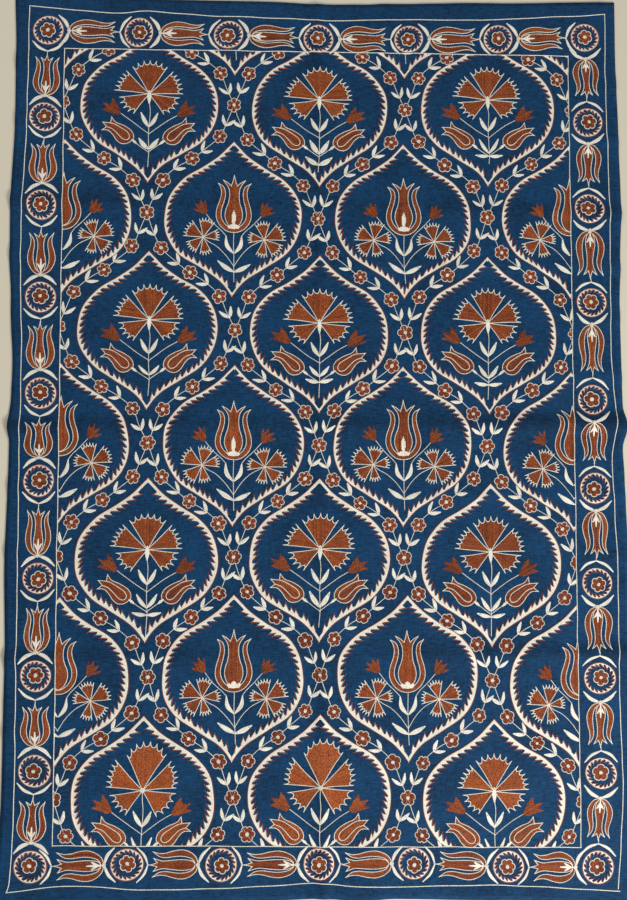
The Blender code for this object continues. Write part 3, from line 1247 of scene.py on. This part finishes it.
# %% Frame lines
# The outer line wanders a little, as a line sewn by eye does, so each of its sides is a few points.
OUTER_LINE = (
    (
        (-727, 1067), (-725, 747), (-731, 520), (-727, 345), (-720, 195), (-718, -60), (-712, -403),
        (-708, -663), (-705, -850), (-710, -1053), (-716, -1071),
    ),
    (
        (-727, 1067), (-609, 1058), (-502, 1053), (-433, 1060), (-302, 1053), (-71, 1049), (25, 1046),
        (182, 1053), (407, 1057), (612, 1071), (727, 1080),
    ),
    (
        (727, 1080), (725, 880), (729, 550), (726, 180), (734, 30), (723, -52), (730, -300), (728, -614),
        (731, -867), (715, -1074),
    ),
    (
        (-716, -1071), (-568, -1058), (-395, -1068), (-128, -1062), (10, -1056), (111, -1066),
        (425, -1064), (718, -1080),
    ),
)
for side in OUTER_LINE:
    sew("frame_lines", curve(side), 0.7)
FRAME_POINTS = 160
corners = np.array(FIELD_CORNERS)
FIELD_SIDES = list(zip(corners, np.roll(corners, -1, axis=0)))
for ends in FIELD_SIDES:
    sew("frame_lines", spread(np.array(ends), FRAME_POINTS), 0.7, 0.5)
print("frame lines:", len(WORK["frame_lines"]))

# %% Hem
HEM_STITCHES_FROM_EDGE = HEM_DEPTH - 0.002
HEM_POINTS = 200


def sew_hem():
    """Small stitches in blue thread along the inner edge of the hem, all round."""
    half_across = HALF_WIDTH - HEM_STITCHES_FROM_EDGE
    half_along = HALF_LENGTH - HEM_STITCHES_FROM_EDGE
    around = [(-half_across, -half_along), (half_across, -half_along), (half_across, half_along)]
    around += [(-half_across, half_along), (-half_across, -half_along)]
    for start, end in zip(around[:-1], around[1:]):
        side = np.linspace(start, end, HEM_POINTS)
        sew("hem_stitches", np.stack(place(side[:, 0], side[:, 1]), -1) / MM, 0.5, (HEM - CLOTH) / MM)


sew_hem()
print("hem lines:", len(WORK["hem_stitches"]))

# %% [markdown]
# ## From drawn lines to yarn
# Two trees of Geometry Nodes do the sewing. The first lays yarn in smooth rows, for all that is
# filled: it turns the drawn lines into curves and runs a low round back along them. The second sews
# chain stitch, for outlines and stems: it walks along each line in steps of one stitch and sets a
# small loop on every step, stretched to reach the next one. Both lines and stitches keep the dye of
# their line, so that the yarn can change its shade from row to row.

# %% Cutting the field to its frame


def cut_to_field(line):
    """The parts of a line that lie inside the inner frame."""
    parts = [line]
    for start, end in FIELD_SIDES:
        way = (end - start) / np.hypot(*(end - start))
        kept = []
        for part in parts:
            inside = way[0] * (part[:, 1] - start[1]) - way[1] * (part[:, 0] - start[0])
            if (inside >= 0).all():
                kept.append(part)
                continue
            run = []
            for i in range(len(part)):
                if i and (inside[i] >= 0) != (inside[i - 1] >= 0):
                    t = inside[i - 1] / (inside[i - 1] - inside[i])
                    edge = part[i - 1] + (part[i] - part[i - 1]) * t
                    run.append(edge)
                    if inside[i] < 0:
                        kept.append(np.array(run))
                        run = []
                if inside[i] >= 0:
                    run.append(part[i])
            if len(run) > 1:
                kept.append(np.array(run))
        parts = kept
    return parts


across_cloth = np.array([(-HALF_WIDTH, 0), (HALF_WIDTH, 0)]) / MM
print("a line across the cloth is cut to", round(length_of(cut_to_field(across_cloth)[0])), "mm")

# %% Drawn lines as a mesh


def drawn_mesh(name, lines):
    """The drawn lines of one piece as a mesh of edges, in metres, with their dye on every point."""
    points = np.concatenate([np.c_[line, np.full(len(line), raised)] for line, _, raised in lines]) * MM
    dye = np.concatenate([np.full(len(line), shade) for line, shade, _ in lines])
    sizes = np.array([len(line) for line, _, _ in lines])
    ends = np.cumsum(sizes)
    starts = np.delete(np.arange(len(points)), ends - 1)
    mesh = bpy.data.meshes.new(name)
    mesh.vertices.add(len(points))
    mesh.vertices.foreach_set("co", points.ravel())
    mesh.edges.add(len(starts))
    mesh.edges.foreach_set("vertices", np.stack([starts, starts + 1], -1).ravel())
    mesh.attributes.new("dye", "FLOAT", "POINT").data.foreach_set("value", np.clip(dye, 0, 1))
    mesh.update()
    return mesh


print(sum(len(lines) for lines in WORK.values()), "drawn lines wait to be sewn")

# %% What both trees share


def new_nodes(name, kind, inputs, outputs):
    """A new tree or group with its named inputs and outputs, and the sockets of its inputs."""
    tree = bpy.data.node_groups.new(name, kind)
    for in_out, sockets in (("INPUT", inputs), ("OUTPUT", outputs)):
        for label, holds in sockets.items():
            tree.interface.new_socket(label, in_out=in_out, socket_type="NodeSocket" + holds)
    return tree, add(tree, "NodeGroupInput").outputs


def math(tree, operation, *values):
    return add(tree, "ShaderNodeMath", dict(enumerate(values)), operation=operation).outputs[0]


def new_tree(name, **sizes):
    """A tree that cuts drawn lines into steps. It also takes some sizes and a yarn."""
    inputs = {"Drawn lines": "Geometry", "Step": "Float", **sizes, "Yarn": "Material"}
    tree, given = new_nodes(name, "GeometryNodeTree", inputs, {"Needlework": "Geometry"})
    tree.is_modifier = True
    lines = add(tree, "GeometryNodeMeshToCurve", {"Mesh": given["Drawn lines"]}).outputs["Curve"]
    cut = {"Curve": lines, "Length": given["Step"]}
    steps = add(tree, "GeometryNodeResampleCurve", cut, mode="LENGTH")
    return tree, given, steps.outputs["Curve"]


def end_tree(tree, geometry, yarn):
    real = add(tree, "GeometryNodeRealizeInstances", {"Geometry": geometry})
    dressed = add(tree, "GeometryNodeSetMaterial", {"Geometry": real.outputs[0], "Material": yarn})
    add(tree, "NodeGroupOutput", {"Needlework": dressed.outputs[0]})
    return tree


# %% Tree for laid rows


def laid_row_tree():
    tree, given, steps = new_tree("laid_rows", **{"Half width": "Float", "Height": "Float"})
    upright = add(tree, "GeometryNodeSetCurveNormal", {"Curve": steps}, mode="Z_UP").outputs[0]
    far = add(tree, "GeometryNodeSplineParameter").outputs["Length"]
    measured = add(
        tree,
        "GeometryNodeStoreNamedAttribute",
        {"Geometry": upright, "Name": "run", "Value": far},
        data_type="FLOAT",
        domain="POINT",
    )
    left = add(tree, "ShaderNodeCombineXYZ", {"X": math(tree, "MULTIPLY", given["Half width"], -1.0)})
    right = add(tree, "ShaderNodeCombineXYZ", {"X": given["Half width"]})
    top = add(tree, "ShaderNodeCombineXYZ", {"Y": math(tree, "MULTIPLY", given["Height"], -2.0)})
    back = add(
        tree,
        "GeometryNodeCurveQuadraticBezier",
        {"Resolution": 2, "Start": left.outputs[0], "Middle": top.outputs[0], "End": right.outputs[0]},
    )
    along = {"Curve": measured.outputs[0], "Profile Curve": back.outputs[0]}
    yarn = add(tree, "GeometryNodeCurveToMesh", along)
    return end_tree(tree, yarn.outputs[0], given["Yarn"])


LAID_ROWS = laid_row_tree()
print("laid rows:", len(LAID_ROWS.nodes), "nodes")

# %% Tree for chain stitch
CHAIN_STEP = 4.0 * MM


def stitch_shape(name, half, high, length):
    """One stitch. A chain stitch is a loop: two strands part, with a hollow between them, and meet."""
    middle = length * 0.5
    points = [(-0.6 * MM, 0, 0.4 * MM), (length, 0, 0.2 * MM)]
    for aside, lift in ((-1, -0.1), (-0.5, 0.9), (0, 0.65), (0.5, 0.9), (1, -0.1)):
        points.append((middle, aside * half, lift * high))
    faces = [(0, 2 + k, 3 + k) for k in range(4)] + [(1, 3 + k, 2 + k) for k in range(4)]
    mesh = bpy.data.meshes.new(name)
    mesh.from_pydata(points, [], faces)
    mesh.shade_smooth()
    return bpy.data.objects.new(name, mesh)


def chain_tree():
    tree, given, steps = new_tree("chain_stitch", Width="Float", Loop="Object")
    following = add(tree, "GeometryNodeOffsetPointInCurve", {"Offset": 1})
    here = add(tree, "GeometryNodeInputPosition").outputs[0]
    there = add(
        tree,
        "GeometryNodeFieldAtIndex",
        {"Index": following.outputs["Point Index"], "Value": here},
        data_type="FLOAT_VECTOR",
        domain="POINT",
    )
    way = add(tree, "ShaderNodeVectorMath", {0: there.outputs[0], 1: here}, operation="SUBTRACT").outputs[0]
    turn = add(tree, "FunctionNodeAlignRotationToVector", {"Vector": way}, axis="X", pivot_axis="Z")
    reach = add(tree, "ShaderNodeVectorMath", {0: way}, operation="LENGTH").outputs["Value"]
    stretch = math(tree, "DIVIDE", reach, given["Step"])
    uneven = add(tree, "FunctionNodeRandomValue", {"Min": 0.9, "Max": 1.1, "Seed": 5}, data_type="FLOAT")
    wide = math(tree, "MULTIPLY", uneven.outputs["Value"], given["Width"])
    size = add(tree, "ShaderNodeCombineXYZ", {"X": stretch, "Y": wide, "Z": given["Width"]})
    loop = add(tree, "GeometryNodeObjectInfo", {"Object": given["Loop"], "As Instance": True})
    sewn = add(
        tree,
        "GeometryNodeInstanceOnPoints",
        {
            "Points": steps,
            "Selection": following.outputs["Is Valid Offset"],
            "Instance": loop.outputs["Geometry"],
            "Rotation": turn.outputs[0],
            "Scale": size.outputs[0],
        },
    )
    return end_tree(tree, sewn.outputs[0], given["Yarn"])


CHAIN_STITCH = chain_tree()
LOOP = stitch_shape("chain_loop", half=1.15 * MM, high=0.95 * MM, length=1.6 * CHAIN_STEP)
HEM_STEP = 6.0 * MM
HEM_STITCH = stitch_shape("hem_stitch", half=0.5 * MM, high=0.5 * MM, length=2.6 * MM)
print("chain stitch:", len(CHAIN_STITCH.nodes), "nodes")

# %% [markdown]
# ## Yarn and cotton
# The yarn is spun and dyed by hand, so its shade changes from row to row and along the thread, its
# strands show as slanted marks, and it has a soft sheen. The cotton is a plain weave: fine threads
# both ways, some of them thicker, and a dye that took unevenly. Both effects are shader node groups,
# and each material has its own colours for them.

# %% Helpers for materials


def mixed(tree, amount, first, second, blend="MIX"):
    """One colour mixed into another."""
    node = add(tree, "ShaderNodeMix", {0: amount, 6: first, 7: second}, data_type="RGBA", blend_type=blend)
    return node.outputs[2]


def noise(tree, at, scale, detail=2.0):
    return add(tree, "ShaderNodeTexNoise", {"Vector": at, "Scale": scale, "Detail": detail}).outputs["Fac"]


def stretched(tree, at, scale):
    """Coordinates drawn out, so that a noise on them makes streaks."""
    return add(tree, "ShaderNodeMapping", {"Vector": at, "Scale": scale}).outputs["Vector"]


def ranged(tree, value, low, high):
    """A value between 0 and 1 put between two others."""
    return add(tree, "ShaderNodeMapRange", {"Value": value, "To Min": low, "To Max": high}).outputs[0]


def fibre_material(name, group, values, bump, shine):
    """A material whose colour and bumps come from a group, which is given values of its own."""
    material = bpy.data.materials.new(name)
    material.use_nodes = True
    tree = material.node_tree
    shader = tree.nodes["Principled BSDF"]
    fibre = add(tree, "ShaderNodeGroup", values, node_tree=group)
    raised = add(tree, "ShaderNodeBump", {"Height": fibre.outputs["Height"], **bump})
    tree.links.new(fibre.outputs["Color"], shader.inputs["Base Color"])
    tree.links.new(raised.outputs["Normal"], shader.inputs["Normal"])
    for label, value in shine.items():
        shader.inputs[label].default_value = value
    return material


# %% Group for spun yarn
STRAND_PITCH = 1.7 * MM


def spun_yarn_group():
    group, given = new_nodes(
        "spun_yarn",
        "ShaderNodeTree",
        {"Deep": "Color", "Bright": "Color", "Unevenness": "Float", "Flecks": "Float"},
        {"Color": "Color", "Height": "Float"},
    )
    at = add(group, "ShaderNodeTexCoord").outputs["Object"]
    dye = add(group, "ShaderNodeAttribute", attribute_name="dye").outputs["Fac"]
    run = add(group, "ShaderNodeAttribute", attribute_name="run").outputs["Fac"]
    blotch = ranged(group, noise(group, at, 45.0), -0.5, 0.5)
    shade = math(group, "ADD", dye, math(group, "MULTIPLY", blotch, given["Unevenness"]))
    base = mixed(group, shade, given["Deep"], given["Bright"])
    strand = math(group, "SINE", math(group, "MULTIPLY", run, 2 * np.pi / STRAND_PITCH))
    fibre = noise(group, at, 900.0)
    height = math(group, "ADD", math(group, "MULTIPLY", strand, 0.35), fibre)
    flecks = ranged(group, noise(group, at, 400.0, 1.0), -1.0, 1.0)
    flecks = math(group, "MULTIPLY", flecks, given["Flecks"])
    light = math(group, "ADD", ranged(group, fibre, 0.80, 1.16), flecks)
    grey = add(group, "ShaderNodeCombineColor", {"Red": light, "Green": light, "Blue": light})
    shaded = mixed(group, 1.0, base, grey.outputs[0], "MULTIPLY")
    add(group, "NodeGroupOutput", {"Color": shaded, "Height": height})
    return group


SPUN_YARN = spun_yarn_group()
print("spun yarn:", len(SPUN_YARN.nodes), "nodes")

# %% Yarn materials
YARN_BUMP = {"Strength": 0.5, "Distance": 0.25 * MM}
YARN_SHINE = {
    "Roughness": 0.72,
    "Specular IOR Level": 0.2,
    "Sheen Weight": 0.05,
    "Sheen Roughness": 0.5,
}


def yarn_material(name, deep, bright, unevenness=0.5, flecks=0.3):
    values = {"Deep": deep, "Bright": bright, "Unevenness": unevenness, "Flecks": flecks}
    return fibre_material(name, SPUN_YARN, values, YARN_BUMP, YARN_SHINE)


RUST = yarn_material("rust_yarn", colour(94, 39, 20), colour(168, 85, 36), 0.6, 1.6)
MADDER = yarn_material("madder_yarn", colour(96, 37, 22), colour(152, 71, 36), 0.6, 1.6)
CREAM = yarn_material("cream_yarn", colour(208, 198, 178), colour(250, 243, 224), 0.8)
DARK_RED = yarn_material("dark_red_yarn", colour(110, 46, 34), colour(160, 86, 60))
BLUE_THREAD = yarn_material("blue_thread", colour(20, 58, 92), colour(44, 92, 132))
print("yarns:", RUST.name, MADDER.name, CREAM.name, DARK_RED.name)

# %% Group for plain weave
THREAD_PITCH = 0.9 * MM


def plain_weave_group():
    group, given = new_nodes(
        "plain_weave",
        "ShaderNodeTree",
        {"Dyed": "Color", "Deep": "Color", "Threads per metre": "Float"},
        {"Color": "Color", "Height": "Float"},
    )
    at = add(group, "ShaderNodeTexCoord").outputs["Object"]
    apart = add(group, "ShaderNodeSeparateXYZ", {"Vector": at}).outputs
    threads = []
    for axis in ("X", "Y"):
        turns = math(group, "MULTIPLY", apart[axis], given["Threads per metre"])
        threads.append(math(group, "SINE", math(group, "MULTIPLY", turns, 2 * np.pi)))
    weave = math(group, "MULTIPLY", threads[0], threads[1])
    slub_across = noise(group, stretched(group, at, (45.0, 420.0, 1.0)), 1.0)
    slub_along = noise(group, stretched(group, at, (420.0, 45.0, 1.0)), 1.0)
    slub_across = math(group, "MULTIPLY", slub_across, 0.65)
    slub_along = math(group, "MULTIPLY", slub_along, 0.35)
    slubs = math(group, "ADD", slub_across, slub_along)
    mottle = noise(group, at, 9.0, 4.0)
    fine_mottle = noise(group, at, 110.0, 4.0)
    tone = math(group, "ADD", ranged(group, slubs, -1.7, 1.7), ranged(group, mottle, -0.55, 0.65))
    tone = math(group, "ADD", tone, ranged(group, fine_mottle, -0.6, 0.6))
    # Painted shade darkens the blue along the folds and wrinkles, and painted light makes it paler along
    # the presses.
    painted_light_and_shade = add(group, "ShaderNodeAttribute", attribute_name="painted_crease_shading").outputs["Fac"]
    tone = math(group, "ADD", tone, painted_light_and_shade)
    shade = add(group, "ShaderNodeClamp", {"Value": math(group, "ADD", tone, 0.5)}).outputs[0]
    colour_of = mixed(group, shade, given["Deep"], given["Dyed"])
    height = math(group, "ADD", math(group, "MULTIPLY", weave, 0.5), slubs)
    add(group, "NodeGroupOutput", {"Color": colour_of, "Height": height})
    return group


PLAIN_WEAVE = plain_weave_group()
print("plain weave:", len(PLAIN_WEAVE.nodes), "nodes")

# %% Cotton material
GROUND_BLUE = colour(17, 64, 102)
GROUND_DEEP = colour(8, 38, 62)
WEAVE_VALUES = {"Dyed": GROUND_BLUE, "Deep": GROUND_DEEP, "Threads per metre": 0.5 / THREAD_PITCH}
COTTON_BUMP = {"Strength": 0.45, "Distance": 0.2 * MM}
COTTON_SHINE = {
    "Roughness": 0.85,
    "Specular IOR Level": 0.15,
    "Sheen Weight": 0.02,
    "Sheen Roughness": 0.5,
}
COTTON = fibre_material("blue_cotton", PLAIN_WEAVE, WEAVE_VALUES, COTTON_BUMP, COTTON_SHINE)
ground.data.materials.append(COTTON)
print("cotton:", COTTON.name)

# %% [markdown]
# ## Sewing
# Each piece of needlework is now made from its lines: cut to the frame where it belongs to the
# field, turned into yarn by its tree, and turned into a plain mesh. Then every point of it is moved:
# sideways by the small drift of a hand that sews for months, and up onto the cloth and its creases.

# %% Onto the cloth
DRIFT_ACROSS = make_waves(seed=5, count=6, shortest=0.07, longest=0.25, height=0.00026)
DRIFT_ALONG = make_waves(seed=8, count=6, shortest=0.07, longest=0.25, height=0.00026)
YARN_ABOVE = 0.05 * MM


def lay_on_cloth(mesh):
    points = np.empty(len(mesh.vertices) * 3)
    mesh.vertices.foreach_get("co", points)
    points = points.reshape(-1, 3)
    x, y = points[:, 0].copy(), points[:, 1].copy()
    points[:, 0] += ripple(x, y, DRIFT_ACROSS)
    points[:, 1] += ripple(x, y, DRIFT_ALONG)
    points[:, 2] += underside(points[:, 0], points[:, 1]) + CLOTH + YARN_ABOVE
    mesh.vertices.foreach_set("co", points.ravel())
    mesh.update()


print("a hand drifts by up to", sum(height for *_, height in DRIFT_ACROSS) / MM, "mm")

# %% From lines to a piece


def faces_up(mesh):
    """Turns a mesh over if its faces look down at the cloth."""
    normals = np.empty(len(mesh.polygons) * 3)
    mesh.polygons.foreach_get("normal", normals)
    if normals.reshape(-1, 3)[:, 2].mean() < 0:
        mesh.flip_normals()


def sewn(name, tree, sizes, yarn, in_field):
    """One piece of needlework, from its drawn lines to a mesh that lies on the cloth."""
    lines = WORK[name]
    if in_field:
        lines = [(part, dye, raised) for line, dye, raised in lines for part in cut_to_field(line)]
        lines = [line for line in lines if len(line[0]) > 1 and length_of(line[0]) > 1.0]
    drawn = in_scene(name + "_drawn", drawn_mesh(name + "_drawn", lines))
    nodes = drawn.modifiers.new("needlework", "NODES")
    nodes.node_group = tree
    values = {**sizes, "Yarn": yarn}
    for socket in tree.interface.items_tree:
        if socket.in_out == "INPUT" and socket.name in values:
            nodes[socket.identifier] = values[socket.name]
    evaluated = drawn.evaluated_get(bpy.context.evaluated_depsgraph_get())
    mesh = bpy.data.meshes.new_from_object(evaluated)
    bpy.data.objects.remove(drawn)
    mesh.name = name
    faces_up(mesh)
    lay_on_cloth(mesh)
    mesh.shade_smooth()
    piece = in_scene(name, mesh)
    triangles = sum(len(face.vertices) - 2 for face in mesh.polygons)
    print(f"{name}: {len(lines)} lines, {triangles} triangles")
    return piece, triangles


# %% Pieces of needlework
ROW_SIZES = {"Step": 7.0 * MM, "Half width": YARN / 2 * MM, "Height": 0.7 * MM}
HEM_SIZES = {"Step": HEM_STEP, "Width": 1.0, "Loop": HEM_STITCH}


def chain(width):
    """The sizes of a chain stitch whose loops are this much wider than usual."""
    return {"Step": CHAIN_STEP, "Width": width, "Loop": LOOP}


# (name, tree, sizes, yarn, whether the frame cuts it).
PIECES = (
    ("carnation_petals", LAID_ROWS, ROW_SIZES, RUST, True),
    ("tulip_petals", LAID_ROWS, ROW_SIZES, RUST, True),
    ("buds", LAID_ROWS, ROW_SIZES, RUST, True),
    ("vine_petals", LAID_ROWS, ROW_SIZES, MADDER, True),
    ("border_petals", LAID_ROWS, ROW_SIZES, RUST, False),
    ("oval_bands", LAID_ROWS, ROW_SIZES, CREAM, True),
    ("cream_leaves", LAID_ROWS, ROW_SIZES, CREAM, True),
    ("vine_cream", LAID_ROWS, ROW_SIZES, CREAM, True),
    ("border_cream", LAID_ROWS, ROW_SIZES, CREAM, False),
    ("red_edges", CHAIN_STITCH, chain(1.1), DARK_RED, True),
    ("border_red", CHAIN_STITCH, chain(1.1), DARK_RED, False),
    ("stems", CHAIN_STITCH, chain(0.9), CREAM, True),
    ("field_outlines", CHAIN_STITCH, chain(1.0), CREAM, True),
    ("vine_outlines", CHAIN_STITCH, chain(0.82), CREAM, True),
    ("border_outlines", CHAIN_STITCH, chain(1.0), CREAM, False),
    ("frame_lines", CHAIN_STITCH, chain(1.1), CREAM, False),
    ("hem_stitches", CHAIN_STITCH, HEM_SIZES, BLUE_THREAD, False),
)

needlework = []
total = 0
for row in PIECES:
    piece, triangles = sewn(*row)
    needlework.append(piece)
    total += triangles
for stitch in (LOOP, HEM_STITCH):
    bpy.data.objects.remove(stitch)
print("needlework:", total, "triangles in all")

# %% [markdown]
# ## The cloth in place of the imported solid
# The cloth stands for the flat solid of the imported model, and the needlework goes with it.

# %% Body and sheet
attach(ground, "root")
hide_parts("ground_cloth")
for piece in needlework:
    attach(piece, "root")
print(len(needlework), "pieces of needlework go with the cloth")
